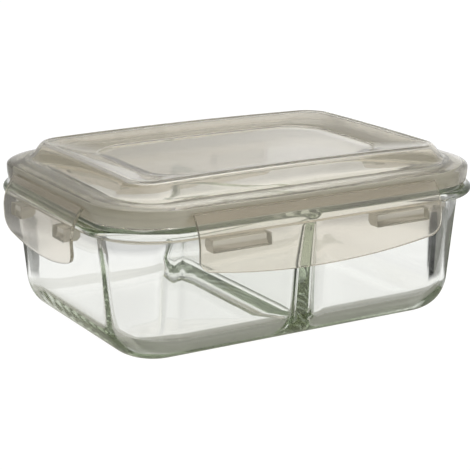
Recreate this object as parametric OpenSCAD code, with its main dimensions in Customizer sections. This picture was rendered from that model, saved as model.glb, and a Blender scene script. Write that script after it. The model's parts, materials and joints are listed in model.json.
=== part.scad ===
// Two-compartment glass food box with a snap lid.
// A pressed-glass dish with a moulded divider, a plastic lid cover with a raised ring,
// a silicone seal, and four latches that hinge on the lid and hook under the glass rim.
// Units are millimetres. X runs along the box, Y across it, Z up from the surface it stands on.

/* [Rim of the dish] */
// Length over the glass rim
rim_length = 207; // [180:1:240]
// Width over the glass rim
rim_width = 152.6; // [140:0.2:180]
// Plan radius of the rim's corners
rim_corner_r = 35.5; // [34:0.5:42]
// Height of the rim's top face
rim_height = 64.6; // [58:0.2:90]
// Thickness of the rolled rim
rim_thickness = 4.3; // [3.6:0.1:5.4]
// How far the rim stands out from the wall below it
rim_overhang = 6.2; // [5:0.1:7.5]

/* [Glass dish] */
// Thickness of the glass wall
wall_thickness = 4.5; // [3.5:0.1:5.5]
// Thickness of the glass floor
floor_thickness = 5.5; // [4:0.1:8]
// How far the wall leans inwards from the rim down to the floor
wall_lean = 5.6; // [3:0.1:7]
// Outer radius where the wall turns into the floor
foot_r = 17.5; // [12:0.5:18]
// Inner radius where the wall turns into the floor
cavity_foot_r = 13; // [8:0.5:14]
// Radius on the inner edge of the rim
lip_r = 1.2; // [0.6:0.1:2]

/* [Divider] */
// Thickness of the divider at its top
divider_top_w = 4.6; // [3.6:0.1:7]
// Extra thickness of the divider at the floor
divider_taper = 1.8; // [0.5:0.1:3]
// How far the divider's top lies below the rim
divider_drop = 5.6; // [4.5:0.1:20]
// Place of the divider along the box, from the middle
divider_x = 0; // [-20:1:20]
// Radius of the fillets along the divider
divider_fillet = 5; // [3:0.5:7]

/* [Lid cover] */
// How far the lid's band is set back from the rim's edge
band_setback = 3; // [2.4:0.1:3.6]
// Gap between the rim and the band's lower edge
band_gap = 1.4; // [0.8:0.1:2]
// Height of the band from its lower edge to its widest line
band_height = 7; // [6:0.1:10]
// Plan radius of the band's corners
band_corner_r = 29.6; // [28:0.1:33]
// How far the band's lower edge tucks in
band_tuck = 0.8; // [0:0.1:1.2]
// Width of the rounded shoulder above the band
shoulder_w = 10.9; // [9.5:0.1:12]
// Height of the rounded shoulder
shoulder_h = 3.2; // [2.8:0.1:5]
// Width of the slope that climbs to the raised ring
ring_slope_w = 7.6; // [5.5:0.1:9]
// Height of the raised ring above the shoulder
ring_h = 8; // [6:0.1:12]
// Width of the ring's flat crest
ring_crest_w = 1.6; // [1:0.1:3]
// Width of the slope from the ring down to the panel
recess_slope_w = 15.8; // [10:0.1:20]
// Depth of the sunk panel below the ring
recess_depth = 5; // [3:0.1:6]
// Plan radius of the panel's corners
panel_corner_r = 18; // [10:1:24]
// Thickness of the plastic
lid_wall = 1.8; // [1.4:0.1:2.2]

/* [Seal] */
// Width of the silicone seal
seal_w = 6.2; // [4:0.1:6.4]
// Gap between the lid's skirt and the glass
skirt_clearance = 0.5; // [0.3:0.1:0.9]
// How much higher the seal channel's roof is at its inner side
channel_rise = 1; // [0:0.1:1.2]
// How far the skirt reaches down into the dish
skirt_depth = 3.8; // [2.5:0.1:4.4]
// Clearance round the seal
seal_clearance = 0.1; // [0.05:0.05:0.3]

/* [Latches] */
// Width of the front and back latches
long_latch_w = 130; // [90:1:132]
// Width of the side latches
side_latch_w = 76; // [50:1:77]
// Thickness of a latch
latch_t = 1.6; // [1.2:0.1:2]
// Gap between a latch and the rim's edge, where it bulges round the rim
latch_rim_gap = 2.4; // [2.2:0.1:4.5]
// Distance from the rim's underside down to the latch's lowest point
latch_drop = 19.4; // [15:0.1:26]
// How much higher the latch's lower edge is at its ends
latch_arc_rise = 6.3; // [3:0.1:9]
// Radius of the latch's lower corners
latch_corner_r = 5; // [2:0.5:7]
// How far the latch tucks in again towards its lower edge
latch_tuck = 2.4; // [1:0.1:4]
// Distance of the hinge line from the band's lower edge
hinge_rise = 4.6; // [3:0.1:5.5]
// Distance of the hinge line from the band's face
hinge_offset = 0.75; // [0.7:0.05:1.2]
// Running clearance in the hinge cove
hinge_clearance = 0.05; // [0.03:0.01:0.1]
// Length of a hook on the long latches
long_hook_l = 30; // [15:1:36]
// Distance between the hooks on the long latches
long_hook_gap = 57; // [20:1:60]
// Length of a hook on the side latches
side_hook_l = 12; // [6:1:14]
// Distance between the hooks on the side latches
side_hook_gap = 36; // [16:1:40]
// Height of a hook
hook_h = 5.6; // [3:0.1:7]
// Gap between a hook and the rim's underside
hook_gap = 0.3; // [0.2:0.05:0.6]
// Gap between a hook's tip and the glass wall
hook_tip_gap = 1.1; // [0.6:0.1:2]

/* [Hidden] */
$fn = 64;

// A cut goes this far past the face it opens.
eps = 0.5;

// Centres of the plan corners: one set for the dish, the seal and all that fits the rim,
// one set for the lid's outer face.
corner = [rim_length / 2 - rim_corner_r, rim_width / 2 - rim_corner_r];
lid_corner = [rim_length / 2 - band_setback - band_corner_r,
              rim_width / 2 - band_setback - band_corner_r];

// Heights
rim_under_z = rim_height - rim_thickness;
band_low_z = rim_height + band_gap;
band_wide_z = band_low_z + band_height;
shoulder_z = band_wide_z + shoulder_h;
crest_z = shoulder_z + ring_h;
panel_z = crest_z - recess_depth;
divider_z = rim_height - divider_drop;
hinge_z = band_low_z + hinge_rise;
skirt_low_z = rim_height - skirt_depth;

// Distances from a corner's centre, which are also distances beyond the straight core.
wall_top_r = rim_corner_r - rim_overhang;
wall_foot_r = wall_top_r - wall_lean;
cavity_top_r = wall_top_r - wall_thickness;
band_r = band_corner_r;
shoulder_r = band_r - shoulder_w;
crest_r = shoulder_r - ring_slope_w;
skirt_outer_r = cavity_top_r - skirt_clearance + wall_lean * (rim_height - rim_under_z) / rim_under_z
                - wall_lean * skirt_depth / rim_under_z;
skirt_inner_r = skirt_outer_r - lid_wall;
seal_inner_r = skirt_outer_r + seal_clearance;
seal_outer_r = seal_inner_r + seal_w;
channel_outer_r = seal_outer_r + seal_clearance;
channel_roof_z = shoulder_z - lid_wall - shoulder_h * 0.4;
skirt_top_z = channel_roof_z + channel_rise;
wall_angle = atan(wall_lean / rim_under_z);

// Latch section, measured outwards from the band's face.
bulge_u = band_setback + latch_rim_gap + latch_t;
bulge_z = rim_under_z - 3.7;
latch_low_z = rim_under_z - latch_drop;
bulge_k = bulge_u - hinge_offset;
bulge_h = hinge_z - bulge_z;
upper_r = (bulge_k * bulge_k + bulge_h * bulge_h - latch_t * latch_t / 4) / (2 * bulge_k - latch_t);
lower_h = bulge_z - latch_low_z;
lower_r = (lower_h * lower_h + latch_tuck * latch_tuck) / (2 * latch_tuck);
hook_top_z = rim_under_z - hook_gap;
hook_tip_u = band_setback - rim_overhang + hook_tip_gap;

glass_tint = [0.80, 0.88, 0.84, 0.45];
lid_tint = [0.60, 0.59, 0.54, 0.70];
seal_tint = [0.82, 0.82, 0.80, 0.90];
latch_tint = [0.84, 0.80, 0.73, 0.60];

// ---- Shared shapes ----

// Carries a flat section round the plan: the section's x is the distance beyond the core c.
module swept(c) {
    for (sx = [0, 1], sy = [0, 1])
        mirror([sx, 0, 0]) mirror([0, sy, 0])
            translate([c.x, c.y, 0]) rotate_extrude(angle = 90) children();
    for (sy = [0, 1])
        mirror([0, sy, 0]) translate([-c.x, c.y, 0])
            rotate([90, 0, 90]) linear_extrude(2 * c.x) children();
    for (sx = [0, 1])
        mirror([sx, 0, 0]) translate([c.x, c.y, 0])
            rotate([90, 0, 0]) linear_extrude(2 * c.y) children();
}

// The same, filled in from z0 to z1.
module swept_solid(c, z0, z1) {
    swept(c) children();
    translate([-c.x, -c.y, z0]) cube([2 * c.x, 2 * c.y, z1 - z0]);
}

// Section of a vessel: a leaning wall that turns into a flat bottom at z0 with radius r.
// foot is the wall's distance at height 0, as if it ran on down without the turn.
module vessel_section(foot, z0, z1, r) {
    slope = tan(wall_angle);
    at_z0 = foot + z0 * slope;
    along = r * (1 - sin(wall_angle)) / cos(wall_angle);
    centre = [at_z0 + along * sin(wall_angle) - r * cos(wall_angle), z0 + r];
    tangent = [at_z0 + along * sin(wall_angle), z0 + along * cos(wall_angle)];
    polygon([[0, z0], [centre.x, z0], centre, tangent, [foot + z1 * slope, z1], [0, z1]]);
    intersection() {
        translate(centre) circle(r);
        translate([centre.x, z0]) square(r);
    }
}

// A quarter-round fillet that fills a corner of two walls along +x and +y.
module fillet_section(r) {
    difference() {
        translate([-eps, -eps]) square(r + eps);
        translate([r, r]) circle(r);
    }
}

// Upper face of the lid, from the crest's edge out to the band's lower edge.
function shoulder_point(a) = [shoulder_r + shoulder_w * cos(a), band_wide_z + shoulder_h * sin(a)];
function climb(u) = u * u * (3 - 2 * u);
function slope_point(u) = [shoulder_r - ring_slope_w * u, shoulder_z + ring_h * climb(u)];
function band_point(u) = [band_r - band_tuck * (1 - u) * (1 - u), band_low_z + band_height * u];

lid_outline = concat(
    [for (u = [0 : 0.25 : 0.75]) band_point(u)],
    [for (a = [0 : 15 : 90]) shoulder_point(a)],
    [for (u = [0.125 : 0.125 : 1]) slope_point(u)]);

// ---- Glass dish ----

module rim_section() {
    bead = rim_thickness / 2;
    translate([wall_top_r - wall_thickness, rim_under_z])
        square([rim_overhang + wall_thickness - bead, rim_thickness]);
    translate([rim_corner_r - bead, rim_height - bead]) circle(bead);
    under_r = rim_thickness * 0.4;
    translate([wall_top_r, rim_under_z]) mirror([0, 1]) fillet_section(under_r);
}

module lip_cut() {
    inner = wall_foot_r - wall_thickness + rim_height * tan(wall_angle);
    difference() {
        translate([inner - eps, rim_height - lip_r]) square([lip_r + eps, lip_r + eps]);
        translate([inner + lip_r, rim_height - lip_r]) circle(lip_r);
    }
}

module dish_envelope() {
    swept_solid(corner, 0, rim_height) vessel_section(wall_foot_r, 0, rim_height, foot_r);
}

module dish_cavity() {
    swept_solid(corner, floor_thickness, rim_height + eps)
        vessel_section(wall_foot_r - wall_thickness, floor_thickness, rim_height + eps, cavity_foot_r);
}

// Section of the divider across the box, with a round top and filleted foot.
module divider_section() {
    top = divider_top_w / 2;
    foot = top + divider_taper / 2;
    polygon([[-foot, floor_thickness - eps], [foot, floor_thickness - eps],
             [top, divider_z - top], [-top, divider_z - top]]);
    translate([0, divider_z - top]) circle(top);
    for (side = [0, 1])
        mirror([side, 0]) translate([foot - 0.1, floor_thickness]) fillet_section(divider_fillet);
}

module divider() {
    inner_y = corner.y + wall_foot_r - wall_thickness;
    intersection() {
        dish_envelope();
        translate([divider_x, 0, 0]) union() {
            rotate([90, 0, 0]) linear_extrude(rim_width, center = true) divider_section();
            // Fillets up the front and back walls lean as the walls do.
            for (sx = [0, 1], sy = [0, 1])
                mirror([sx, 0, 0]) mirror([0, sy, 0])
                    translate([divider_top_w / 2, inner_y, 0]) rotate([-wall_angle, 0, 0])
                        mirror([0, 1, 0])
                            linear_extrude((divider_z - divider_top_w / 2) / cos(wall_angle))
                                fillet_section(divider_fillet);
        }
    }
}

module glass_dish() {
    color(glass_tint) union() {
        difference() {
            union() {
                dish_envelope();
                swept(corner) rim_section();
            }
            dish_cavity();
            swept(corner) lip_cut();
        }
        divider();
    }
}

// ---- Lid cover ----

// A plate with rounded plan corners.
module rounded_plate(half_x, half_y, r, z, h) {
    translate([0, 0, z])
        hull() for (sx = [-1, 1], sy = [-1, 1])
            translate([sx * (half_x - r), sy * (half_y - r), 0]) cylinder(r = r, h = h, $fn = 32);
}

// The dish-shaped hollow above the panel, grown by a given amount all round.
module recess(grow) {
    rim_half = crest_r - ring_crest_w + grow;
    panel_half = rim_half - recess_slope_w;
    hull() {
        rounded_plate(lid_corner.x + rim_half, lid_corner.y + rim_half, rim_half, crest_z, eps);
        rounded_plate(lid_corner.x + panel_half, lid_corner.y + panel_half, panel_corner_r + grow, panel_z - grow, 0.01);
    }
}

// Underside of the raised ring: the slope set in by the wall.
module ring_hollow_section() {
    inner = [for (u = [0 : 0.125 : 1]) slope_point(u) - [lid_wall * 0.9, lid_wall * 0.9]];
    polygon(concat(
        [[0, band_low_z], [shoulder_r - lid_wall * 0.9, band_low_z]],
        inner,
        [[crest_r - lid_wall, crest_z - lid_wall], [0, crest_z - lid_wall]]));
}

// Hollow under the shoulder, with the seal channel's sloping roof.
function roof_at(d) =
    channel_roof_z + channel_rise * (channel_outer_r - d) / (channel_outer_r - skirt_outer_r);

module channel_hollow_section() {
    polygon([[0, band_low_z - eps], [channel_outer_r, band_low_z - eps],
             [channel_outer_r, channel_roof_z], [skirt_outer_r, skirt_top_z], [0, skirt_top_z]]);
}

module lid_shell_section() {
    polygon(concat([[0, band_low_z]], lid_outline, [[0, crest_z]]));
}

module skirt_section() {
    translate([skirt_inner_r, skirt_low_z])
        square([lid_wall, skirt_top_z + lid_wall / 2 - skirt_low_z]);
}

// Coves in the band's face that the latches' round upper edges sit in.
module hinge_coves() {
    cove_r = latch_t / 2 + hinge_clearance;
    for (side = latch_sides)
        rotate([0, 0, side[0]]) translate([0, side[1] + hinge_offset, hinge_z])
            rotate([0, 90, 0]) cylinder(r = cove_r, h = side[2] + 2 * hinge_clearance, center = true);
}

module lid_cover() {
    color(lid_tint) difference() {
        union() {
            difference() {
                swept_solid(lid_corner, band_low_z, crest_z) lid_shell_section();
                difference() {
                    swept_solid(lid_corner, band_low_z, crest_z - lid_wall) ring_hollow_section();
                    recess(lid_wall);
                }
                swept_solid(corner, band_low_z - eps, skirt_top_z) channel_hollow_section();
            }
            swept(corner) skirt_section();
        }
        recess(0);
        hinge_coves();
    }
}

// ---- Seal ----

// A body that fills the channel's top, over a round bead that meets the rim.
module seal_section() {
    bead = seal_w / 2;
    body_low = rim_height + seal_clearance + bead;
    polygon([[seal_inner_r, body_low], [seal_outer_r, body_low], [seal_outer_r, roof_at(seal_outer_r)],
             [seal_inner_r, roof_at(seal_inner_r)]]);
    translate([seal_inner_r + bead, body_low]) circle(bead);
}

module seal_ring() {
    color(seal_tint) swept(corner) seal_section();
}

// ---- Latches ----

// Turn about Z, distance of the band's face, and width of each latch: back, left, front, right.
latch_sides = [
    [0, lid_corner.y + band_r, long_latch_w],
    [90, lid_corner.x + band_r, side_latch_w],
    [180, lid_corner.y + band_r, long_latch_w],
    [270, lid_corner.x + band_r, side_latch_w]];

// Section of a latch, from its hinge bead round the rim to its lower edge.
module latch_section() {
    upper_c = [bulge_u - upper_r, bulge_z];
    lower_c = [bulge_u - lower_r, bulge_z];
    hinge = [hinge_offset, hinge_z];
    ray = (hinge - upper_c) * 2;
    intersection() {
        difference() {
            translate(upper_c) circle(upper_r);
            translate(upper_c) circle(upper_r - latch_t);
        }
        polygon([upper_c, upper_c + [2 * upper_r, 0], upper_c + [2 * upper_r, 2 * upper_r], upper_c + ray]);
    }
    translate(hinge) circle(latch_t / 2);
    intersection() {
        difference() {
            translate(lower_c) circle(lower_r);
            translate(lower_c) circle(lower_r - latch_t);
        }
        translate([0, latch_low_z - eps]) square([2 * bulge_u, lower_h + eps]);
    }
}

// Face view of a latch: straight sides, round lower corners and a lower edge that hangs in an arc.
module latch_outline(w) {
    half = w / 2;
    arc_r = (half * half + latch_arc_rise * latch_arc_rise) / (2 * latch_arc_rise);
    arc_c = [0, latch_low_z + arc_r];
    inner_half = half - latch_corner_r;
    corner_z = arc_c.y - sqrt(pow(arc_r - latch_corner_r, 2) - inner_half * inner_half);
    top_z = hinge_z + latch_t;
    reach = ([inner_half, corner_z] - arc_c) * 2;
    translate([-half, corner_z]) square([w, top_z - corner_z]);
    intersection() {
        translate(arc_c) circle(arc_r, $fn = 256);
        polygon([arc_c, arc_c + reach, arc_c + [-reach.x, reach.y]]);
        translate([-half, latch_low_z - eps]) square([w, top_z - latch_low_z]);
    }
    for (side = [-1, 1])
        translate([side * inner_half, corner_z]) circle(latch_corner_r);
}

// One hook that reaches in under the rim, with its inner edges bevelled.
module hook(l) {
    root_u = bulge_u - latch_t / 2 - 0.3;
    bevel = hook_h * 0.15;
    translate([-l / 2, 0, 0]) rotate([90, 0, 90]) linear_extrude(l)
        polygon([[root_u, hook_top_z], [hook_tip_u + bevel, hook_top_z],
                 [hook_tip_u, hook_top_z - bevel], [hook_tip_u, hook_top_z - hook_h + 2 * bevel],
                 [hook_tip_u + 2 * bevel, hook_top_z - hook_h], [root_u, hook_top_z - hook_h]]);
}

module latch(side, hook_l, hook_spacing) {
    w = side[2];
    color(latch_tint) rotate([0, 0, side[0]]) translate([0, side[1], 0]) union() {
        intersection() {
            translate([-w / 2, 0, 0]) rotate([90, 0, 90]) linear_extrude(w) latch_section();
            translate([0, 2 * bulge_u, 0]) rotate([90, 0, 0]) linear_extrude(3 * bulge_u) latch_outline(w);
        }
        for (end = [-1, 1])
            translate([end * (hook_spacing + hook_l) / 2, 0, 0]) hook(hook_l);
    }
}

module back_latch() { latch(latch_sides[0], long_hook_l, long_hook_gap); }
module left_latch() { latch(latch_sides[1], side_hook_l, side_hook_gap); }
module front_latch() { latch(latch_sides[2], long_hook_l, long_hook_gap); }
module right_latch() { latch(latch_sides[3], side_hook_l, side_hook_gap); }

glass_dish();
lid_cover();
seal_ring();
front_latch();
back_latch();
left_latch();
right_latch();
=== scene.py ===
import json
import math

import bmesh
import bpy
import numpy as np
from mathutils import Matrix, Vector

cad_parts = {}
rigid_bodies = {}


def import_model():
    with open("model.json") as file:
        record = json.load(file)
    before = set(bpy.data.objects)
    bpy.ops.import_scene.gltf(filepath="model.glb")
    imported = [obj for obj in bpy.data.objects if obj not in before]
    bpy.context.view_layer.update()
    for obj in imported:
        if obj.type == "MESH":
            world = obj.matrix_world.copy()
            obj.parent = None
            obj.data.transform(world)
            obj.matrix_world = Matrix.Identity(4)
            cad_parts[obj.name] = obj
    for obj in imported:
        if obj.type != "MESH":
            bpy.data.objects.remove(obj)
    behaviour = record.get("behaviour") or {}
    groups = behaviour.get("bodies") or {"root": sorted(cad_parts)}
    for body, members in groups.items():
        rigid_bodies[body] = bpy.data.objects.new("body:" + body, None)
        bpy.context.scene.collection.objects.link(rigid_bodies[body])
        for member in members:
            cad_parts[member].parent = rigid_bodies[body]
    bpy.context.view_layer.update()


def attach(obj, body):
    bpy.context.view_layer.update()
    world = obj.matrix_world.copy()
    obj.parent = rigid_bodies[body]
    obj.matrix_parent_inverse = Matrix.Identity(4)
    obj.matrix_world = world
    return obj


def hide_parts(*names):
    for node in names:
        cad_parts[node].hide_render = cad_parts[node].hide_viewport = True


bl_info = {
    "name": "Glass Lunch Box",
    "version": (1, 0, 0),
    "blender": (4, 5, 0),
    "location": "View3D > Sidebar > Lunch Box",
    "description": "Builds a two-compartment glass lunch box with a snap lid",
    "category": "Object",
}

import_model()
MM = 0.001

# Corner centres in plan, in millimetres: one set for all that fits the glass rim,
# one for the outer face of the lid.
RIM_CORE = (68.0, 40.8)
LID_CORE = (70.9, 43.7)

# Steps of a plan ring: half of a long side, a corner, a short side.
LONG_STEPS, CORNER_STEPS, SHORT_STEPS = 14, 18, 16

# The main view: its turn and tilt in degrees, its distance and shift in millimetres, its lens,
# and its direction seen from above.
VIEW_YAW, VIEW_PITCH = 30.46, 15.18
VIEW_DISTANCE, VIEW_SHIFT = 776.0, (-0.77, 35.06)
LENS, SENSOR = 118.07, 36.0
AHEAD = (0.507, 0.862)


# ---- Settings ----

class DishSettings(bpy.types.PropertyGroup):
    wall: bpy.props.FloatProperty(
        name="Wall", description="Thickness of the glass wall",
        default=4.5 * MM, min=0.002, max=0.008, unit="LENGTH")
    floor: bpy.props.FloatProperty(
        name="Floor", description="Thickness of the glass floor",
        default=5.5 * MM, min=0.003, max=0.01, unit="LENGTH")
    divider: bpy.props.FloatProperty(
        name="Divider", description="Thickness of the divider at its top",
        default=4.6 * MM, min=0.003, max=0.008, unit="LENGTH")
    divider_height: bpy.props.FloatProperty(
        name="Divider height", description="Height of the divider's top",
        default=59 * MM, min=0.03, max=0.062, unit="LENGTH")
    tint: bpy.props.FloatVectorProperty(
        name="Glass colour", description="Colour that thick glass takes on",
        default=(0.74, 0.78, 0.69), min=0, max=1, subtype="COLOR")
    depth: bpy.props.FloatProperty(
        name="Glass depth", description="How soon the colour shows",
        default=26.0, min=0, max=400)


class LidSettings(bpy.types.PropertyGroup):
    wall: bpy.props.FloatProperty(
        name="Wall", description="Thickness of the plastic",
        default=1.8 * MM, min=0.001, max=0.003, unit="LENGTH")
    crown_along: bpy.props.FloatProperty(
        name="Crown along", description="How far the lid arches along its length",
        default=1.65 * MM, min=0, max=0.004, unit="LENGTH")
    crown_across: bpy.props.FloatProperty(
        name="Crown across", description="How far the lid arches across its width",
        default=0.77 * MM, min=0, max=0.004, unit="LENGTH")
    colour: bpy.props.FloatVectorProperty(
        name="Lid colour", description="Tint of the lid's plastic",
        default=(0.90, 0.862, 0.785), min=0, max=1, subtype="COLOR")


class LatchSettings(bpy.types.PropertyGroup):
    thickness: bpy.props.FloatProperty(
        name="Thickness", description="Thickness of a latch",
        default=1.6 * MM, min=0.001, max=0.003, unit="LENGTH")
    edge: bpy.props.FloatProperty(
        name="Edge", description="Rounding of a latch's edges",
        default=0.6 * MM, min=0.0001, max=0.0008, unit="LENGTH")
    colour: bpy.props.FloatVectorProperty(
        name="Latch colour", description="Tint of the latches' plastic",
        default=(0.88, 0.832, 0.76), min=0, max=1, subtype="COLOR")


class SealSettings(bpy.types.PropertyGroup):
    colour: bpy.props.FloatVectorProperty(
        name="Seal colour", description="Colour of the silicone seal",
        default=(0.60, 0.62, 0.57), min=0, max=1, subtype="COLOR")


class StageSettings(bpy.types.PropertyGroup):
    floor: bpy.props.FloatVectorProperty(
        name="Floor colour", description="Colour of the floor",
        default=(0.93, 0.93, 0.93), min=0, max=1, subtype="COLOR")
    light: bpy.props.FloatProperty(
        name="Light", description="Strength of the soft studio light",
        default=1.0, min=0, max=10)


# ---- Plan rings and shells ----

def half_ring(hx, hy, r, x0=0.0):
    """Right half of a rounded rectangle, from the front at x0 round to the back at x0."""
    cx, cy = hx - r, hy - r
    turn = [math.radians(90 * i / CORNER_STEPS) for i in range(CORNER_STEPS)]
    points = [(x0 + (cx - x0) * i / LONG_STEPS, -hy) for i in range(LONG_STEPS)]
    points += [(cx + r * math.sin(a), -cy - r * math.cos(a)) for a in turn]
    points += [(hx, -cy + 2 * cy * i / SHORT_STEPS) for i in range(SHORT_STEPS)]
    points += [(cx + r * math.cos(a), cy + r * math.sin(a)) for a in turn]
    points += [(cx + (x0 - cx) * i / LONG_STEPS, hy) for i in range(LONG_STEPS + 1)]
    return np.array(points)


def plan_ring(hx, hy, r):
    """A whole rounded rectangle, anticlockwise from the middle of its front side."""
    half = half_ring(hx, hy, r)[:-1]
    return np.vstack([half, -half])


def at_height(plan, z):
    """Lifts plan points to a height, or to one height each."""
    return np.column_stack([plan, np.broadcast_to(z, len(plan))])


def rim_ring(d, z):
    """A ring at distance d beyond the core that the dish, the seal and the skirt share."""
    return at_height(plan_ring(RIM_CORE[0] + d, RIM_CORE[1] + d, d), z)


def crown(plan, along, across):
    """Extra height of the arched lid, in millimetres."""
    return along * (1 - (plan[:, 0] / 100) ** 2) + across * (1 - (plan[:, 1] / 70) ** 2)


def arc(cx, cz, r, start, stop, steps):
    """Points of a section's arc, from one angle to another, in degrees."""
    turns = np.radians(np.linspace(start, stop, steps + 1))
    return [(cx + r * math.cos(a), cz + r * math.sin(a)) for a in turns]


class Shell:
    """Collects rings of points, in millimetres, and the faces between them."""

    def __init__(self):
        self.points, self.faces, self.count = [], [], 0

    def ring(self, points):
        first = self.count
        self.points.append(np.asarray(points, float))
        self.count += len(points)
        return list(range(first, self.count))

    def bridge(self, a, b):
        n = len(a)
        self.faces += [(a[i], a[(i + 1) % n], b[(i + 1) % n], b[i]) for i in range(n)]

    def loft(self, rings):
        """Joins rings one after another, and returns the last."""
        last = None
        for points in rings:
            new = self.ring(points)
            if last:
                self.bridge(last, new)
            last = new
        return last

    def close(self, ring, centre, heights=None, steps=(0.8, 0.6, 0.4, 0.2)):
        """Fills a ring with ever smaller rings down to a point."""
        points = np.vstack(self.points)[ring]
        centre = np.asarray(centre, float)
        last = ring
        for k in steps:
            inner = centre + (points - centre) * k
            if heights is not None:
                inner[:, 2] = heights(inner[:, :2])
            new = self.ring(inner)
            self.bridge(last, new)
            last = new
        if heights is not None:
            centre[2] = heights(centre[None, :2])[0]
        pole = self.ring([centre])[0]
        self.faces += [(last[i], last[(i + 1) % len(last)], pole) for i in range(len(last))]

    def build(self, name, sharp=40):
        """Makes a closed, smooth mesh object of the shell, in metres."""
        mesh = bpy.data.meshes.new(name)
        bm = bmesh.new()
        verts = [bm.verts.new(p) for p in np.vstack(self.points) * MM]
        for face in self.faces:
            corners = [verts[i] for i in dict.fromkeys(face)]
            if len(corners) > 2:
                bm.faces.new(corners)
        return finish_mesh(bm, mesh, name, sharp)


def finish_mesh(bm, mesh, name, sharp):
    """Merges doubles, turns faces outwards, smooths, and links the object."""
    bmesh.ops.remove_doubles(bm, verts=bm.verts, dist=2e-6)
    bmesh.ops.dissolve_degenerate(bm, edges=bm.edges, dist=1e-6)
    bmesh.ops.recalc_face_normals(bm, faces=bm.faces)
    for face in bm.faces:
        face.smooth = True
    bm.to_mesh(mesh)
    bm.free()
    mesh.set_sharp_from_angle(angle=math.radians(sharp))
    piece = bpy.data.objects.new(name, mesh)
    bpy.context.scene.collection.objects.link(piece)
    return piece


# ---- Shader maths ----

class Wire:
    """A socket that does maths: an expression on wires adds its Math nodes."""

    def __init__(self, paint, socket):
        self.paint, self.socket = paint, socket

    def _math(self, operation, *values):
        return self.paint.node("ShaderNodeMath", {"operation": operation}, *values)

    def __add__(self, other):
        return self._math("ADD", self, other)

    def __sub__(self, other):
        return self._math("SUBTRACT", self, other)

    def __rsub__(self, other):
        return self._math("SUBTRACT", other, self)

    def __mul__(self, other):
        return self._math("MULTIPLY", self, other)

    def __abs__(self):
        return self._math("ABSOLUTE", self)

    __radd__ = __add__
    __rmul__ = __mul__

    def clamp(self, low=0.0, high=1.0):
        return self._math("MINIMUM", self._math("MAXIMUM", self, low), high)

    def over(self, edge, sharpness):
        """0 below the edge and 1 above it, over a soft step."""
        return ((self - edge) * sharpness).clamp()

    def under(self, edge, sharpness):
        """1 below the edge and 0 above it, over a soft step."""
        return ((edge - self) * sharpness).clamp()


class Paint:
    """A material or world whose nodes are written as calls and expressions."""

    def __init__(self, block):
        block.use_nodes = True
        self.tree = block.node_tree
        self.tree.nodes.clear()

    def put(self, socket, value):
        if isinstance(value, Wire):
            self.tree.links.new(value.socket, socket)
        elif value is not None:
            socket.default_value = value

    def raw(self, kind, settings=None):
        node = self.tree.nodes.new(kind)
        for name, value in (settings or {}).items():
            if name == "stops":
                ramp = node.color_ramp
                for place, _ in value[1:-1]:
                    ramp.elements.new(place)
                for element, (place, colour) in zip(ramp.elements, value):
                    element.position, element.color = place, colour
            else:
                setattr(node, name, value)
        return node

    def node(self, kind, settings=None, *values, out=0, **named):
        node = self.raw(kind, settings)
        for socket, value in zip(node.inputs, values):
            self.put(socket, value)
        for name, value in named.items():
            self.put(node.inputs[name.replace("_", " ")], value)
        return Wire(self, node.outputs[out])

    def mix(self, factor, a, b):
        """A colour between a and b."""
        node = self.raw("ShaderNodeMix", {"data_type": "RGBA"})
        for index, value in ((0, factor), (6, a), (7, b)):
            self.put(node.inputs[index], value)
        return Wire(self, node.outputs[2])

    def split(self, vector):
        """The three parts of a vector."""
        node = self.raw("ShaderNodeSeparateXYZ")
        self.put(node.inputs[0], vector)
        return [Wire(self, node.outputs[i]) for i in range(3)]

    def place(self):
        """The point on the piece, in metres, as three values."""
        return self.split(self.node("ShaderNodeTexCoord", out="Object"))

    def noise(self, scale, detail=2.0, roughness=0.5, stretch=(1, 1, 1)):
        """Cloudy noise on the piece's own coordinates, from 0 to 1."""
        place = self.node("ShaderNodeTexCoord", out="Object")
        place = self.node("ShaderNodeMapping", None, Vector=place, Scale=stretch)
        return self.node("ShaderNodeTexNoise", None, Vector=place, Scale=scale,
                         Detail=detail, Roughness=roughness)


def rgba(colour):
    return (*colour, 1.0)


def turned(along, across):
    """A spot or direction seen from above, as (ahead, side) of the main view."""
    return (along * AHEAD[0] + across * AHEAD[1],
            along * AHEAD[1] - across * AHEAD[0])


def around(paint, along, across, levels):
    """A level that changes with the direction seen from above, from (degrees, level) stops."""
    ahead, side = turned(along, across)
    turn = paint.node("ShaderNodeMath", {"operation": "ARCTAN2"}, side, ahead)
    stops = [(0.5 + degrees / 360, (level, level, level, 1)) for degrees, level in levels]
    return paint.node("ShaderNodeValToRGB", {"stops": stops}, turn * (0.5 / math.pi) + 0.5)


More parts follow.
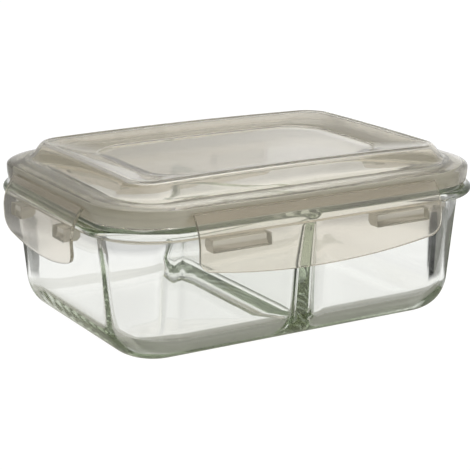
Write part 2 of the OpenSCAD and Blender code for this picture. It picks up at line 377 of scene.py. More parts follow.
def clear_material(name, colour, ior, roughness, wave, absorb, depth,
                   veil=0.0, veil_colour=(1, 1, 1)):
    """A see-through material with a cloudy veil, a number or a function of Paint, over it.

    It refracts, takes on the absorb colour with depth, and lets light through in shadows.
    """
    material = bpy.data.materials.new(name)
    paint = Paint(material)
    cloud = paint.noise(28.0, 3.0)
    fine = paint.noise(260.0, 2.0, 0.6)
    swell = paint.noise(55.0, 1.0)
    tint = paint.mix(cloud * 0.35, rgba(colour), rgba([c * 0.965 for c in colour]))
    bump = paint.node("ShaderNodeBump", None, Strength=wave, Distance=0.0006,
                      Height=swell + fine * 0.06)
    body = paint.node("ShaderNodeBsdfPrincipled", None, Base_Color=tint,
                      Roughness=cloud * roughness + roughness * 0.5, IOR=ior,
                      Transmission_Weight=1.0, Normal=bump)
    if veil:
        if callable(veil):
            veil = veil(paint)
        haze = paint.node("ShaderNodeBsdfPrincipled", None, Base_Color=rgba(veil_colour),
                          Roughness=0.3, Normal=bump)
        body = paint.node("ShaderNodeMixShader", None, veil, body, haze)
    shade = paint.node("ShaderNodeBsdfTransparent", None, Color=rgba(colour))
    is_shadow = paint.node("ShaderNodeLightPath", out="Is Shadow Ray")
    shader = paint.node("ShaderNodeMixShader", None, is_shadow, body, shade)
    out = paint.raw("ShaderNodeOutputMaterial")
    paint.put(out.inputs["Surface"], shader)
    volume = paint.node("ShaderNodeVolumeAbsorption", None, Color=rgba(absorb), Density=depth)
    paint.put(out.inputs["Volume"], volume)
    return material


# The hooks lie within this half length and half width, and between these two heights.
HOOK_ZONE, HOOK_HEIGHTS = (0.1056, 0.0784), (0.0543, 0.0601)
PLATE_HAZE, EXTRA_HOOK_HAZE = 0.06, 0.42
CRISP = 5000.0


def hook_haze(paint):
    """Share of cloudy body colour on a latch: little on the plate, much on its thick hooks."""
    x, y, z = paint.place()
    inside = abs(x).under(HOOK_ZONE[0], CRISP) * abs(y).under(HOOK_ZONE[1], CRISP)
    level = z.over(HOOK_HEIGHTS[0], CRISP) * z.under(HOOK_HEIGHTS[1], CRISP)
    return inside * level * EXTRA_HOOK_HAZE + PLATE_HAZE


def seal_material(colour):
    """Soft, slightly cloudy silicone."""
    material = bpy.data.materials.new("silicone")
    paint = Paint(material)
    cloud = paint.noise(40.0, 3.0)
    grain = paint.noise(900.0, 2.0)
    tint = paint.mix(cloud, rgba(colour), rgba([c * 0.9 for c in colour]))
    bump = paint.node("ShaderNodeBump", None, Strength=0.15, Distance=0.0002, Height=grain)
    body = paint.node("ShaderNodeBsdfPrincipled", None, Base_Color=tint,
                      Roughness=cloud * 0.15 + 0.4, IOR=1.41, Normal=bump)
    out = paint.raw("ShaderNodeOutputMaterial")
    paint.put(out.inputs["Surface"], body)
    return material


# ---- The glass dish ----

# In millimetres. Distances are measured outwards from the rim's core.
WALL_FOOT = 23.7
WALL_LEAN, WALL_TILT = 5.6 / 60.3, 5.3
FOOT_EDGE, FOOT_R = 7.75, 17.5
RIM_ROOT, RIM_ROOT_R = (31.1, 58.5), 1.8
RIM_ROLL, RIM_ROLL_R = (33.35, 62.45), 2.15
RIM_TOP, LIP_R = 64.6, 1.2
# The compartments: their foot's rounding, how much tighter their upright corners are than
# the wall's, the depth at which that is reached, and how much rounder the floor's corners are.
POCKET_FOOT_R = 13.0
CORNER_TIGHT, TIGHT_DEPTH, CORNER_SWEEP = 2.3, 12, 6.5
# The divider: its fillets to the walls, what they gain lower down, its foot, its taper.
DIVIDER_FILLET, FILLET_GAIN = 4.0, 3.0
DIVIDER_FOOT_R, DIVIDER_TAPER = 8.0, 0.9


def outer_section():
    """Section of the dish from its flat bottom round the rim to just inside the lip."""
    section = arc(FOOT_EDGE, FOOT_R, FOOT_R, -90, -WALL_TILT, 14)
    section += [(WALL_FOOT + WALL_LEAN * z, z) for z in (24, 34, 44, 52, 58.4)]
    section += arc(*RIM_ROOT, RIM_ROOT_R, 180, 90, 5)[1:]
    section += arc(*RIM_ROLL, RIM_ROLL_R, -90, 90, 12)
    return section


def dish_shell(wall, floor, divider, divider_top):
    """The dish with its two compartments, from sizes in millimetres."""
    shell = Shell()
    foot = WALL_FOOT - wall
    half = divider / 2
    mouth_z = divider_top + DIVIDER_FILLET
    centre_z = divider_top - half
    lean = math.atan(WALL_LEAN)

    def wall_at(z):
        return foot + WALL_LEAN * z

    lip = wall_at(RIM_TOP) + LIP_R
    section = outer_section() + arc(lip, RIM_TOP - LIP_R, LIP_R, 90, 180, 5)
    section.append((wall_at(mouth_z), mouth_z))
    rings = [rim_ring(d, z) for d, z in section]
    shell.loft(rings)
    shell.close(list(range(len(rings[0]))), (0, 0, 0))

    rise = POCKET_FOOT_R * (1 - math.sin(lean)) / math.cos(lean)
    pocket_foot = (foot + (floor + rise) * WALL_LEAN - POCKET_FOOT_R * math.cos(lean),
                   floor + POCKET_FOOT_R)

    def pocket_ring(d, z, face, corner, turn=0.0):
        """One ring of a compartment. turn is how far it has come over the divider's top."""
        swing = math.radians(90 * turn)
        hx, hy = RIM_CORE[0] + d, RIM_CORE[1] + d
        start = (face + corner) * math.cos(swing)
        sweep = CORNER_SWEEP * max(0.0, 1 - (z - floor) / POCKET_FOOT_R) ** 2
        r = d - CORNER_TIGHT * min(1, (mouth_z - z) / TIGHT_DEPTH) + sweep
        wall_part = at_height(half_ring(hx, hy, r, start), z)[:-1]
        bends = np.radians(np.linspace(0, 90, 13))
        reach = face + corner * (1 - np.sin(bends))
        height = (z if turn == 0 else centre_z) + reach * math.sin(swing)
        bend = np.column_stack([reach * math.cos(swing), hy - corner * (1 - np.cos(bends)),
                                height])
        straight = np.array([(face * math.cos(swing), y, height[-1])
                             for y in np.linspace(hy - corner, corner - hy, 25)[1:-1]])
        return np.vstack([wall_part, bend, straight, (bend * (1, -1, 1))[::-1]])[:-1]

    def share_down(z):
        return (centre_z - z) / (centre_z - floor)

    def face_at(z):
        return half + DIVIDER_TAPER * share_down(z)

    def corner_at(z):
        return DIVIDER_FILLET + FILLET_GAIN * min(1, 3 * share_down(z))

    rings = []
    for turn in np.linspace(1, 0, 9):
        z = centre_z + (half + DIVIDER_FILLET) * math.sin(math.radians(90 * turn))
        rings.append(pocket_ring(wall_at(z), z, half, DIVIDER_FILLET, turn))
    for z in np.linspace(centre_z, pocket_foot[1], 8)[1:-1]:
        rings.append(pocket_ring(wall_at(z), z, face_at(z), corner_at(z)))
    for d, z in arc(*pocket_foot, POCKET_FOOT_R, -WALL_TILT, -90, 16):
        low = max(0.0, floor + DIVIDER_FOOT_R - z)
        tuck = DIVIDER_FOOT_R - math.sqrt(max(0.0, DIVIDER_FOOT_R ** 2 - low ** 2))
        rings.append(pocket_ring(d, z, face_at(z) + tuck, corner_at(z)))
    for side in (1, -1):
        last = shell.loft([ring * (side, 1, 1) for ring in rings])
        shell.close(last, (side * 40, 0, floor))
    return shell


# ---- The lid ----

# In millimetres. Set-ins are measured inwards from the band's face.
BAND_R, BAND_LOW, BAND_TOP, BAND_LEAN = 29.6, 66.0, 72.95, 0.8
SHOULDER_W, SHOULDER_H = 10.9, 3.25
SHOULDER_TOP = BAND_TOP + SHOULDER_H
RING_W, RING_H = 7.6, 6.4
# The sunk middle: where its slope ends inwards, the slope, the panel, and its corners'
# rounding at the crest and at the panel as (set-in, radius).
SLOPE_END, SLOPE = (35.3, 78.7), 0.232
PANEL_Z = 77.7
CREST_CORNER, PANEL_CORNER = (18.5, 10.7), (35.9, 18.4)
# Shares of the crown that the shoulder and the ring take part in.
SHOULDER_ARCH, RING_ARCH = 0.4, 0.6
# Underneath: set-in, width, rounding and rise of the ring's inner slope.
UNDER_IN, UNDER_W, UNDER_R, UNDER_H = 12.0, 7.3, 17.4, 6.2
PANEL_STEPS = (0.9, 0.8, 0.65, 0.5, 0.35, 0.2, 0.08)
# The channel and the skirt underneath, as (distance from the rim's core, height).
CHANNEL = ((30.75, 66.6), (30.75, 69), (30.75, 72.5), (30.6, 72.95), (30.2, 73.2),
           (27.5, 73.65), (25, 74.05), (24.5, 73.95), (24.35, 73.5), (24.35, 66))
SKIRT = ((24.35, 61.6), (24.1, 61.0), (23.45, 60.8), (22.8, 61.0), (22.55, 61.6),
         (22.55, 66), (22.55, 73.0), (22.4, 74.0))


def climb(u):
    """A smooth step from 0 to 1."""
    return u * u * (3 - 2 * u)


def recess_r(s):
    """Corner rounding of the sunk middle at a set-in."""
    (near, near_r), (far, far_r) = CREST_CORNER, PANEL_CORNER
    return near_r + (far_r - near_r) * (s - near) / (far - near)


def slope_z(s):
    return SLOPE_END[1] + (SLOPE_END[0] - s) * SLOPE


def lid_rings(wall, along, across):
    """Rings of the lid cover from the panel's edge outwards, round the band and underneath."""
    rings = []

    def lid(s, z, r=None, arch=1.0):
        """A ring set in by s from the band's face. arch is its share of the lid's crown."""
        r = BAND_R - s if r is None else r
        plan = plan_ring(LID_CORE[0] + BAND_R - s, LID_CORE[1] + BAND_R - s, r)
        rise = crown(plan, along * arch, across * (0.5 + 0.5 * arch) if arch else 0)
        rings.append(at_height(plan, z + rise))

    for s, z in ((37.2, PANEL_Z), (36.6, 77.75), (36.2, 77.95), (36.0, 78.3), (35.8, 78.5),
                 SLOPE_END):
        lid(s, z, recess_r(s))
    for s in (32.0, 28.0, 24.0, 21.6):
        lid(s, slope_z(s), recess_r(s))
    for s, z in ((20.6, 82.08), (19.8, 82.38), (19.1, 82.55)):
        lid(s, z, recess_r(s))
    for u in np.linspace(1, 0, 13):
        lid(SHOULDER_W + RING_W * u, SHOULDER_TOP + RING_H * climb(u),
            BAND_R - SHOULDER_W - (RING_W + 0.4) * u, SHOULDER_ARCH + RING_ARCH * u)
    for a in np.radians(np.linspace(84, 0, 12)):
        lid(SHOULDER_W * (1 - math.cos(a)), BAND_TOP + SHOULDER_H * math.sin(a), None,
            SHOULDER_ARCH * math.sin(a))
    for u in (0.8, 0.6, 0.4, 0.2, 0.06):
        lid(BAND_LEAN * (1 - u) ** 2, BAND_LOW + (BAND_TOP - BAND_LOW) * u, None, 0)
    for s, z in ((0.9, 66.1), (1.15, BAND_LOW), (1.4, BAND_LOW), (1.6, 66.1)):
        lid(s, z, None, 0)
    rings.extend(rim_ring(d, z) for d, z in CHANNEL + SKIRT)
    for u in np.linspace(0, 1, 11):
        lid(UNDER_IN + UNDER_W * u, SHOULDER_TOP - wall * 0.95 + UNDER_H * climb(u),
            UNDER_R - UNDER_W * u, SHOULDER_ARCH + RING_ARCH * u)
    for s in (21.5, 24, 28, 32, 35.0):
        lid(s, slope_z(s) - wall, recess_r(s))
    lid(35.6, 76.5, recess_r(35.6))
    lid(36.4, PANEL_Z - wall, recess_r(36.4))
    return rings


def lid_shell(wall, along, across):
    """The lid cover, from its wall and its crown in millimetres."""
    shell = Shell()
    rings = lid_rings(wall, along, across)
    last = shell.loft(rings)
    for ring, z in ((list(range(len(rings[0]))), PANEL_Z), (last, PANEL_Z - wall)):
        shell.close(ring, (0, 0, 0), lambda plan: z + crown(plan, along, across), PANEL_STEPS)
    return shell


# The seal's section as (distance from the rim's core, height), and the bead between.
SEAL_OUTSIDE = ((30.1, 73.12), (30.5, 72.95), (30.65, 72.5), (30.65, 71.0), (30.4, 70.7),
                (30.4, 70.1), (30.65, 69.8), (30.65, 67.8))
SEAL_BEAD, SEAL_BEAD_R = (27.55, 67.8), 3.1
SEAL_INSIDE = ((24.45, 67.8), (24.45, 69.8), (24.7, 70.1), (24.7, 70.7), (24.45, 71.0),
               (24.45, 73.4), (24.6, 73.85), (25.0, 73.95))


def seal_shell():
    """A ring that fills the lid's channel, with side grooves and a soft bead underneath."""
    shell = Shell()
    bead = arc(*SEAL_BEAD, SEAL_BEAD_R, -8, -172, 14)
    section = [*SEAL_OUTSIDE, *bead, *SEAL_INSIDE]
    last = shell.loft([rim_ring(d, z) for d, z in section])
    shell.bridge(last, list(range(len(last))))
    return shell


# ---- The latches ----

# In millimetres, in a latch's section: distance out from the band's face, and height.
HINGE, HINGE_CAP = (0.75, 70.6), 0.55
BULGE = (7.0, 56.6)
LOW_Z, LOW_TUCK = 40.9, 2.4
# Its outline from the front: how much its low edge bows down, and its low corners.
ARC_RISE, LATCH_CORNER_R = 6.3, 5.0
COLUMNS, ROWS = 60, 30
HOOK_TIP, HOOK_TOP, HOOK_LOW = -2.1, 60.0, 54.4
HOOK_BEVEL, HOOK_SLOPE, HOOK_EDGE = 0.8, 1.6, 0.35
# Side, turn about Z in degrees, distance of the band's face, width, hook length, hook gap.
LATCHES = (
    ("front", 180, 73.3, 130.0, 30.0, 57.0),
    ("back", 0, 73.3, 130.0, 30.0, 57.0),
    ("left", 90, 100.5, 76.0, 12.0, 36.0),
    ("right", 270, 100.5, 76.0, 12.0, 36.0),
)


def latch_line(thick):
    """Centre line of a latch's section, as a function from height to distance."""
    out, drop, half = BULGE[0] - HINGE[0], HINGE[1] - BULGE[1], thick / 2
    upper = (out * out + drop * drop - half * half) / (2 * (out - half))
    low = BULGE[1] - LOW_Z
    lower = (low * low + LOW_TUCK * LOW_TUCK) / (2 * LOW_TUCK)

    def at(z):
        r = (upper if z > BULGE[1] else lower) - half
        return BULGE[0] - half - r + math.sqrt(r * r - (z - BULGE[1]) ** 2)
    return at


def latch_plate(name, width, thick, edge):
    """The curved plate of one latch, before it is turned to its side, hinge at the top."""
    half = width / 2
    bow = (half * half + ARC_RISE * ARC_RISE) / (2 * ARC_RISE)

    def low_edge(x):
        z = LOW_Z + bow - math.sqrt(bow * bow - x * x)
        out = abs(x) - (half - LATCH_CORNER_R)
        if out > 0:
            z += LATCH_CORNER_R - math.sqrt(max(0.0, LATCH_CORNER_R ** 2 - out * out))
        return z

    line = latch_line(thick)
    points, top = [], HINGE[1] + HINGE_CAP
    for angle in np.linspace(-90, 90, COLUMNS + 1):
        x = half * math.sin(math.radians(angle))
        low = low_edge(x)
        for row in range(ROWS + 1):
            z = top + (low - top) * row / ROWS
            points.append((x, line(z), z))
    n = ROWS + 1
    faces = [(i * n + j, (i + 1) * n + j, (i + 1) * n + j + 1, i * n + j + 1)
             for i in range(COLUMNS) for j in range(ROWS)]
    mesh = bpy.data.meshes.new(name)
    mesh.from_pydata([tuple(c * MM for c in p) for p in points], [], faces)
    plate = bpy.data.objects.new(name, mesh)
    bpy.context.scene.collection.objects.link(plate)
    solid = plate.modifiers.new("wall", "SOLIDIFY")
    solid.thickness, solid.offset, solid.use_even_offset = thick * MM, 0.0, True
    bevel = plate.modifiers.new("edge", "BEVEL")
    bevel.width, bevel.segments, bevel.limit_method = edge, 3, "ANGLE"
    bevel.angle_limit = math.radians(50)
    return plate


def hook_block(thick, length):
    """One hook that reaches in under the rim, centred on x = 0."""
    root = BULGE[0] - thick / 2 - 0.3
    section = [(root, HOOK_TOP), (HOOK_TIP + HOOK_BEVEL, HOOK_TOP),
               (HOOK_TIP, HOOK_TOP - HOOK_BEVEL), (HOOK_TIP, HOOK_LOW + HOOK_SLOPE),
               (HOOK_TIP + HOOK_SLOPE, HOOK_LOW), (root, HOOK_LOW)]
    mesh = bpy.data.meshes.new("hook_block")
    n = len(section)
    verts = [(x * length / 2 * MM, u * MM, z * MM) for x in (-1, 1) for u, z in section]
    faces = [tuple(range(n)), tuple(range(n, 2 * n))]
    faces += [(i, (i + 1) % n, n + (i + 1) % n, n + i) for i in range(n)]
    mesh.from_pydata(verts, [], faces)
    block = bpy.data.objects.new("hook_block", mesh)
    bpy.context.scene.collection.objects.link(block)
    bm = bmesh.new()
    bm.from_mesh(mesh)
    bmesh.ops.recalc_face_normals(bm, faces=bm.faces)
    bmesh.ops.bevel(bm, geom=bm.edges[:], offset=HOOK_EDGE * MM, segments=2, profile=0.5,
                    affect="EDGES")
    bm.to_mesh(mesh)
    bm.free()
    return block


def hook_tree(block, material):
    """Node tree that sets hooks along a plate and makes them one body with it."""
    tree = bpy.data.node_groups.new("latch_hooks", "GeometryNodeTree")
    face = tree.interface
    face.new_socket("Geometry", in_out="INPUT", socket_type="NodeSocketGeometry")
    for name, kind, default in (("Spacing", "NodeSocketFloat", 0.087),
                                ("Count", "NodeSocketInt", 2)):
        face.new_socket(name, in_out="INPUT", socket_type=kind).default_value = default
    face.new_socket("Geometry", in_out="OUTPUT", socket_type="NodeSocketGeometry")
    nodes, links = tree.nodes, tree.links
    start = nodes.new("NodeGroupInput")
    end = nodes.new("NodeGroupOutput")

    def math_node(operation, *values):
        node = nodes.new("ShaderNodeMath")
        node.operation = operation
        for socket, value in zip(node.inputs, values):
            if isinstance(value, (int, float)):
                socket.default_value = value
            else:
                links.new(value, socket)
        return node.outputs[0]

    def vector_x(value):
        node = nodes.new("ShaderNodeCombineXYZ")
        links.new(value, node.inputs["X"])
        return node.outputs[0]

    gaps = math_node("SUBTRACT", start.outputs["Count"], 1)
    reach = math_node("MULTIPLY", gaps, start.outputs["Spacing"])
    row = nodes.new("GeometryNodeMeshLine")
    links.new(start.outputs["Count"], row.inputs["Count"])
    links.new(vector_x(math_node("MULTIPLY", reach, -0.5)), row.inputs["Start Location"])
    links.new(vector_x(start.outputs["Spacing"]), row.inputs["Offset"])
    shape = nodes.new("GeometryNodeObjectInfo")
    shape.inputs["Object"].default_value = block
    copies = nodes.new("GeometryNodeInstanceOnPoints")
    links.new(row.outputs[0], copies.inputs["Points"])
    links.new(shape.outputs["Geometry"], copies.inputs["Instance"])
    real = nodes.new("GeometryNodeRealizeInstances")
    links.new(copies.outputs[0], real.inputs[0])
    union = nodes.new("GeometryNodeMeshBoolean")
    union.operation = "UNION"
    union.solver = "EXACT"
    links.new(start.outputs["Geometry"], union.inputs["Mesh 2"])
    links.new(real.outputs[0], union.inputs["Mesh 2"])
    finish = nodes.new("GeometryNodeRealizeInstances")
    links.new(union.outputs[0], finish.inputs[0])
    paint = nodes.new("GeometryNodeSetMaterial")
    paint.inputs["Material"].default_value = material
    links.new(finish.outputs[0], paint.inputs["Geometry"])
    links.new(paint.outputs[0], end.inputs[0])
    return tree


def plain_mesh(piece, name, turn):
    """Turns a piece with live modifiers into a plain mesh object in its place."""
    bpy.context.view_layer.update()
    evaluated = piece.evaluated_get(bpy.context.evaluated_depsgraph_get())
    mesh = bpy.data.meshes.new_from_object(evaluated)
    bpy.data.objects.remove(piece)
    bm = bmesh.new()
    bm.from_mesh(mesh)
    bm.transform(turn)
    return finish_mesh(bm, mesh, name, 35)


# ---- Operators ----

class LUNCHBOX_OT_dish(bpy.types.Operator):
    """Make the glass dish with its divider"""
    bl_idname = "lunchbox.dish"
    bl_label = "Glass dish"

    def execute(self, context):
        s = context.scene.lunchbox_dish
        shell = dish_shell(s.wall / MM, s.floor / MM, s.divider / MM, s.divider_height / MM)
        dish = shell.build("dish_glass")
        glass = clear_material("clear_glass", (1.0, 1.0, 1.0), ior=1.52, roughness=0.0,
                               wave=0.012, absorb=s.tint, depth=s.depth)
        dish.data.materials.append(glass)
        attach(dish, "dish")
        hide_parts("glass_dish")
        return {"FINISHED"}


class LUNCHBOX_OT_lid(bpy.types.Operator):
    """Make the lid cover"""
    bl_idname = "lunchbox.lid"
    bl_label = "Lid cover"

    def execute(self, context):
        s = context.scene.lunchbox_lid
        shell = lid_shell(s.wall / MM, s.crown_along / MM, s.crown_across / MM)
        lid = shell.build("lid_moulding", 50)
        plastic = clear_material("lid_plastic", s.colour, ior=1.49, roughness=0.05, wave=0.10,
                                 absorb=(0.74, 0.745, 0.69), depth=45.0,
                                 veil=0.08, veil_colour=(0.60, 0.58, 0.53))
        lid.data.materials.append(plastic)
        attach(lid, "lid")
        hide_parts("lid_cover")
        return {"FINISHED"}


class LUNCHBOX_OT_seal(bpy.types.Operator):
    """Make the silicone seal"""
    bl_idname = "lunchbox.seal"
    bl_label = "Seal"

    def execute(self, context):
        seal = seal_shell().build("seal_silicone")
        seal.data.materials.append(seal_material(context.scene.lunchbox_seal.colour))
        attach(seal, "lid")
        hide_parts("seal_ring")
        return {"FINISHED"}


class LUNCHBOX_OT_latches(bpy.types.Operator):
    """Make the four latches with their hooks"""
    bl_idname = "lunchbox.latches"
    bl_label = "Latches"

    def execute(self, context):
        s = context.scene.lunchbox_latch
        plastic = clear_material("latch_plastic", s.colour, ior=1.49, roughness=0.04, wave=0.10,
                                 absorb=(0.76, 0.75, 0.70), depth=40.0,
                                 veil=hook_haze, veil_colour=(0.58, 0.58, 0.52))
        for side, turn, face, width, length, gap in LATCHES:
            plate = latch_plate(side + "_plate", width, s.thickness / MM, s.edge)
            block = hook_block(s.thickness / MM, length)
            tree = hook_tree(block, plastic)
            modifier = plate.modifiers.new("hooks", "NODES")
            modifier.node_group = tree
            sockets = {i.name: i.identifier for i in tree.interface.items_tree
                       if i.in_out == "INPUT"}
            modifier[sockets["Spacing"]] = (gap + length) * MM
            modifier[sockets["Count"]] = 2
            turned_out = Matrix.Rotation(math.radians(turn), 4, "Z")
            place = turned_out @ Matrix.Translation((0, face * MM, 0))
            latch = plain_mesh(plate, side + "_snap_latch", place)
            bpy.data.objects.remove(block)
            if not latch.data.materials:
                latch.data.materials.append(plastic)
            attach(latch, side + "_flap")
            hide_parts(side + "_latch")
        return {"FINISHED"}


# Light that the glass sees around it, as (degrees from the main view's direction, level):
# the open floor, low in the room, and higher up.
# The open floor's levels are light and shade painted into the floor's glow; the low and high
# levels are the world's light.
FLOOR_LEVELS = ((-180, 0.7), (-135, 1.0), (-90, 0.35), (-45, 0.6), (0, 0.7), (45, 0.4),
                (90, 0.4), (135, 1.1), (180, 0.7))
LOW_LEVELS = ((-180, 0.65), (-150, 0.2), (-90, 0.08), (-55, 0.45), (-30, 0.3), (-12, 0.6),
              (-3, 0.8), (6, 1.1), (18, 1.05), (35, 0.5), (60, 0.3), (90, 0.7), (120, 1.0),
              (150, 0.9), (180, 0.65))
HIGH_LEVELS = ((-180, 0.35), (-120, 0.2), (-90, 0.3), (-30, 0.5), (-6, 0.5), (0, 0.66),
               (8, 0.8), (30, 0.68), (60, 0.55), (90, 1.2), (130, 1.1), (160, 0.5),
               (180, 0.35))
# The sine of the height at which the higher light and the light overhead take over.
RISE_AT, RISE_SOFT = 0.14, 5.0
TOP_AT, TOP_SOFT = 0.72, 8.0
TOP_TILT, TOP_LEVEL, TOP_MOST = 1.1, 0.55, 1.3
# The bare floor and background that the camera sees.
FLOOR_GLOW, FLOOR_GLOW_SHARE, BACKGROUND = 1.12, 0.85, 1.05
FLOOR_DROP, FLOOR_HALF = 0.4 * MM, 6

# Zones of the floor under and around the dish, in metres, and what the glass sees in them:
# shadow and light painted into the floor's glow. The dish's painted shadow is darkest in front,
# dark to the left and lighter behind, with bright painted light under the dish.
UNDER_DISH = (1.0, 1.0, 0.98)
NEAR_FRONT, NEAR_FRONT_TONE = -0.0400, (0.43, 0.43, 0.39)
FRONT, FRONT_TONE = -0.0462, (0.31, 0.31, 0.27)
LEFT, LEFT_TONE = -0.0785, (0.50, 0.49, 0.44)
BACK, BACK_TONE = 0.060, (0.76, 0.76, 0.73)
OUTLINE, OUTSIDE_TONE = (0.1075, 0.080), (0.98, 0.98, 0.97)
FAR, FAR_SOFT = (0.16, 0.13), 12.0
ZONE_EDGE = 400.0

# Dark flags painted into the floor's glow for the glass alone: painted shade that stands for
# dark studio flags and gives the glass its dark lines. The ones at the sides spread from a
# point in front, by their slope, and all of them end at set limits.
FLAG_APEX, FLAG_EDGE, FLAG_END = 0.75, 900.0, 100.0
FLAG_NEAR, FLAG_FAR, FLAG_FADE = 0.03, 0.40, 50.0
LEFT_FLAG, LEFT_FLAG_END, LEFT_FLAG_TONE = -0.1305, -0.19, (0.10, 0.10, 0.09)
RIGHT_FLAG, RIGHT_FLAG_END, RIGHT_FLAG_TONE = 0.1272, 0.24, (0.0, 0.0, 0.0)
RIGHT_REST, RIGHT_REST_TONE = 0.1345, (0.20, 0.20, 0.18)
FRONT_FLAG_LEAN, FRONT_FLAG, FRONT_FLAG_TONE = 0.58, 0.0455, (0.08, 0.08, 0.08)
FRONT_FLAG_ACROSS, FRONT_FLAG_ALONG = (-0.19, -0.088), 0.20

# Name, place, aim, size in metres and power in watts.
SOFTBOXES = (
    ("overhead_softbox", (0.15, 0.35, 1.2), (0, 0, 0), 1.0, 3.0),
    ("left_softbox", (-1.1, -0.9, 0.7), (0, 0, 0.03), 0.35, 0.6),
)


def floor_tone(paint):
    """What the floor looks like through the glass: zones of painted shadow and painted light,
    then the painted dark flags.
    """
    along, across, _ = paint.place()
    wide, deep = abs(along), abs(across)
    ahead, side = turned(along, across)

    def past(limits, sharpness):
        """1 outside a rectangle round the dish."""
        inside = (1 - wide.over(limits[0], sharpness)) * (1 - deep.over(limits[1], sharpness))
        return 1 - inside

    front = across.under(FRONT, ZONE_EDGE)
    reach = ahead + FLAG_APEX
    behind = ahead.over(FLAG_NEAR, FLAG_FADE) * ahead.under(FLAG_FAR, FLAG_FADE)
    left_end = side.over(LEFT_FLAG_END, FLAG_END) * behind
    right_end = side.under(RIGHT_FLAG_END, FLAG_END) * behind
    front_flag = (along + across * FRONT_FLAG_LEAN).over(FRONT_FLAG, ZONE_EDGE)
    front_flag = front_flag * across.under(FRONT_FLAG_ACROSS[1], ZONE_EDGE)
    front_flag = front_flag * across.over(FRONT_FLAG_ACROSS[0], FLAG_END)
    front_flag = front_flag * along.under(FRONT_FLAG_ALONG, FLAG_END)
    # Each zone paints shadow or light into the floor's glow.
    tone = rgba(UNDER_DISH)
    for mask, colour in (
        (across.under(NEAR_FRONT, ZONE_EDGE), rgba(NEAR_FRONT_TONE)),
        (front, rgba(FRONT_TONE)),
        (along.under(LEFT, ZONE_EDGE) * (1 - front), rgba(LEFT_TONE)),
        (across.over(BACK, ZONE_EDGE), rgba(BACK_TONE)),
        (past(OUTLINE, ZONE_EDGE), rgba(OUTSIDE_TONE)),
        (past(FAR, FAR_SOFT), around(paint, along, across, FLOOR_LEVELS)),
        (front_flag, rgba(FRONT_FLAG_TONE)),
        (side.under(reach * LEFT_FLAG, FLAG_EDGE) * left_end, rgba(LEFT_FLAG_TONE)),
        (side.over(reach * RIGHT_FLAG, FLAG_EDGE) * right_end, rgba(RIGHT_FLAG_TONE)),
        (side.over(reach * RIGHT_REST, FLAG_EDGE) * right_end, rgba(RIGHT_REST_TONE)),
    ):
        tone = paint.mix(mask, tone, colour)
    return tone


def floor_material(colour):
    """White paper to the camera; to light that has passed the glass, a glowing floor with
    shadow, light and dark flags painted into its glow.
    """
    material = bpy.data.materials.new("floor_paper")
    paint = Paint(material)
    lit = paint.node("ShaderNodeBsdfPrincipled", None, Base_Color=rgba(colour), Roughness=0.9,
                     Specular_IOR_Level=0.0)
    white = paint.node("ShaderNodeEmission", None, Color=(1, 1, 1, 1), Strength=FLOOR_GLOW)
    shown = paint.node("ShaderNodeMixShader", None, FLOOR_GLOW_SHARE, lit, white)
    # The floor's glow, seen only by light that has passed the glass, carries the painted
    # shadow, painted light and painted dark flags.
    glow = paint.node("ShaderNodeEmission", None, Color=floor_tone(paint), Strength=1.0)
    seen = paint.node("ShaderNodeLightPath", out="Is Camera Ray")
    body = paint.node("ShaderNodeMixShader", None, seen, glow, shown)
    paint.put(paint.raw("ShaderNodeOutputMaterial").inputs["Surface"], body)
    return material


def studio_world(strength):
    """A white background to the camera, a soft studio to light that has passed the glass."""
    world = bpy.data.worlds.new("studio")
    paint = Paint(world)
    x, y, z = paint.split(paint.node("ShaderNodeTexCoord", out="Generated"))
    rise, top = z.over(RISE_AT, RISE_SOFT), z.over(TOP_AT, TOP_SOFT)
    low, high = around(paint, x, y, LOW_LEVELS), around(paint, x, y, HIGH_LEVELS)
    overhead = (turned(x, y)[1] * TOP_TILT + TOP_LEVEL).clamp(0.0, TOP_MOST)
    light = (low * (1 - rise) + high * rise) * (1 - top) + overhead * top
    seen = paint.node("ShaderNodeLightPath", out="Is Camera Ray")
    level = light * (1 - seen) + seen * BACKGROUND
    back = paint.node("ShaderNodeBackground", None, Color=(1, 1, 1, 1),
                      Strength=level * strength)
    paint.put(paint.raw("ShaderNodeOutputWorld").inputs["Surface"], back)
    return world


def main_camera():
    """A camera with a long lens at the main view."""
    yaw, pitch = math.radians(VIEW_YAW), math.radians(VIEW_PITCH)
    ahead = Vector((math.sin(yaw) * math.cos(pitch), math.cos(yaw) * math.cos(pitch),
                    -math.sin(pitch)))
    right = Vector((math.cos(yaw), -math.sin(yaw), 0))
    up = right.cross(ahead)
    place = -ahead * VIEW_DISTANCE + right * VIEW_SHIFT[0] + up * VIEW_SHIFT[1]
    lens = bpy.data.cameras.new("camera")
    lens.sensor_fit, lens.sensor_width, lens.lens = "HORIZONTAL", SENSOR, LENS
    lens.clip_start, lens.clip_end = 0.01, 50.0
    camera = bpy.data.objects.new("camera", lens)
    turn = Matrix((right, up, -ahead)).transposed().to_4x4()
    camera.matrix_world = Matrix.Translation(place * MM) @ turn
    return camera


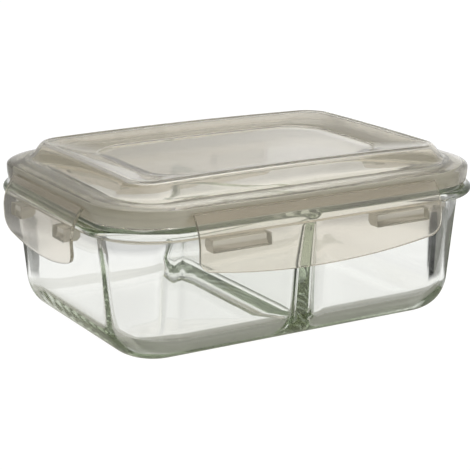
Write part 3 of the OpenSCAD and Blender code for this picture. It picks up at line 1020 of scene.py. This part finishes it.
class LUNCHBOX_OT_stage(bpy.types.Operator):
    """Set the floor, the light and the camera"""
    bl_idname = "lunchbox.stage"
    bl_label = "Stage"

    def execute(self, context):
        s = context.scene.lunchbox_stage
        scene = context.scene
        objects = scene.collection.objects
        mesh = bpy.data.meshes.new("floor")
        corners = ((-1, -1), (1, -1), (1, 1), (-1, 1))
        mesh.from_pydata([(x * FLOOR_HALF, y * FLOOR_HALF, -FLOOR_DROP) for x, y in corners],
                         [], [(0, 1, 2, 3)])
        mesh.materials.append(floor_material(s.floor))
        floor = bpy.data.objects.new("floor", mesh)
        objects.link(floor)
        scene.world = studio_world(s.light)
        for name, place, aim, size, power in SOFTBOXES:
            lamp = bpy.data.lights.new(name, "AREA")
            lamp.shape, lamp.size, lamp.energy = "SQUARE", size, power * s.light
            source = bpy.data.objects.new(name, lamp)
            source.location = place
            way = Vector(aim) - Vector(place)
            source.rotation_euler = way.to_track_quat("-Z", "Y").to_euler()
            objects.link(source)
        scene.camera = main_camera()
        objects.link(scene.camera)
        scene.view_settings.view_transform = "Standard"
        # Light turns many times inside the foot and the rim of thick glass.
        scene.cycles.max_bounces = 64
        scene.cycles.transmission_bounces = 48
        scene.cycles.glossy_bounces = 48
        scene.cycles.transparent_max_bounces = 24
        return {"FINISHED"}


class LUNCHBOX_PT_panel(bpy.types.Panel):
    """Settings and build buttons of the lunch box"""
    bl_label = "Lunch Box"
    bl_idname = "LUNCHBOX_PT_panel"
    bl_space_type = "VIEW_3D"
    bl_region_type = "UI"
    bl_category = "Lunch Box"

    def draw(self, context):
        for operator, settings in STEPS:
            part = self.layout.box()
            part.operator(operator.bl_idname)
            group = getattr(context.scene, settings)
            for name in group.bl_rna.properties.keys():
                if name not in ("rna_type", "name"):
                    part.prop(group, name)


STEPS = (
    (LUNCHBOX_OT_dish, "lunchbox_dish"),
    (LUNCHBOX_OT_lid, "lunchbox_lid"),
    (LUNCHBOX_OT_seal, "lunchbox_seal"),
    (LUNCHBOX_OT_latches, "lunchbox_latch"),
    (LUNCHBOX_OT_stage, "lunchbox_stage"),
)
SETTINGS = {
    "lunchbox_dish": DishSettings,
    "lunchbox_lid": LidSettings,
    "lunchbox_seal": SealSettings,
    "lunchbox_latch": LatchSettings,
    "lunchbox_stage": StageSettings,
}
CLASSES = (*SETTINGS.values(), *(operator for operator, _ in STEPS), LUNCHBOX_PT_panel)


def register():
    for cls in CLASSES:
        bpy.utils.register_class(cls)
    for name, group in SETTINGS.items():
        setattr(bpy.types.Scene, name, bpy.props.PointerProperty(type=group))


def unregister():
    for name in SETTINGS:
        delattr(bpy.types.Scene, name)
    for cls in reversed(CLASSES):
        bpy.utils.unregister_class(cls)


def main():
    register()
    bpy.ops.lunchbox.dish()
    bpy.ops.lunchbox.lid()
    bpy.ops.lunchbox.seal()
    bpy.ops.lunchbox.latches()
    bpy.ops.lunchbox.stage()


if __name__ == "__main__":
    main()
